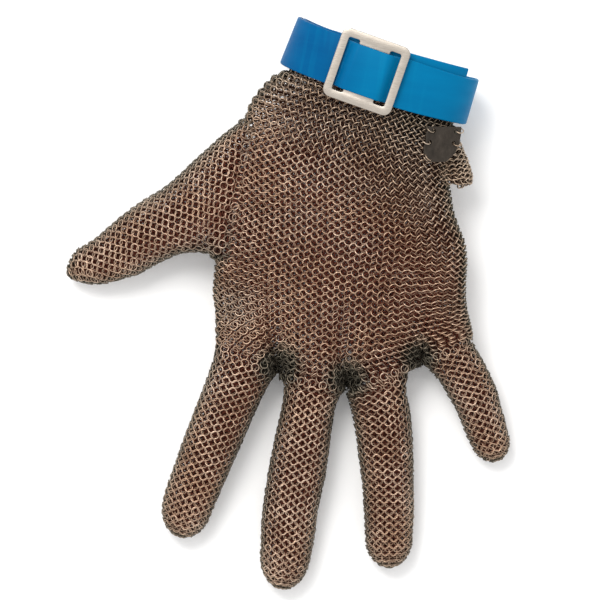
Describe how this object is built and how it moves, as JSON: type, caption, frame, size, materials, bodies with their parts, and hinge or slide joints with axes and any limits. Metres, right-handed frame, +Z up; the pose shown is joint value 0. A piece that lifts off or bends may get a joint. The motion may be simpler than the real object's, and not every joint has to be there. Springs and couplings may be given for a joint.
{
  "type": "chainmail glove",
  "caption": "Left-hand cut-resistant glove of linked steel rings with spread fingers, a blue wrist strap threaded through a slotted steel buckle, and a small blank tag plate.",
  "frame": {"origin": "middle of the bounding box on the surface that the glove lies on", "axes": "+Z up out of the back of the hand, -Y along the middle finger towards its tip, +X towards the little finger"},
  "size_m": [0.1876, 0.2277, 0.0497],
  "materials": {
    "mail": "fine welded steel rings, slightly dull and warm",
    "strap": "smooth semi-gloss blue polyurethane with light scuffs",
    "buckle": "fine brushed steel with rounded edges",
    "tag": "dark worn steel, blank"
  },
  "bodies": {
    "root": {"hand_mail": "mail", "thumb_stall": "mail", "index_stall": "mail", "middle_stall": "mail", "ring_stall": "mail", "little_stall": "mail", "cuff_flap": "mail", "wrist_strap": "strap", "buckle": "buckle", "tag_plate": "tag"}
  },
  "joints": []
}
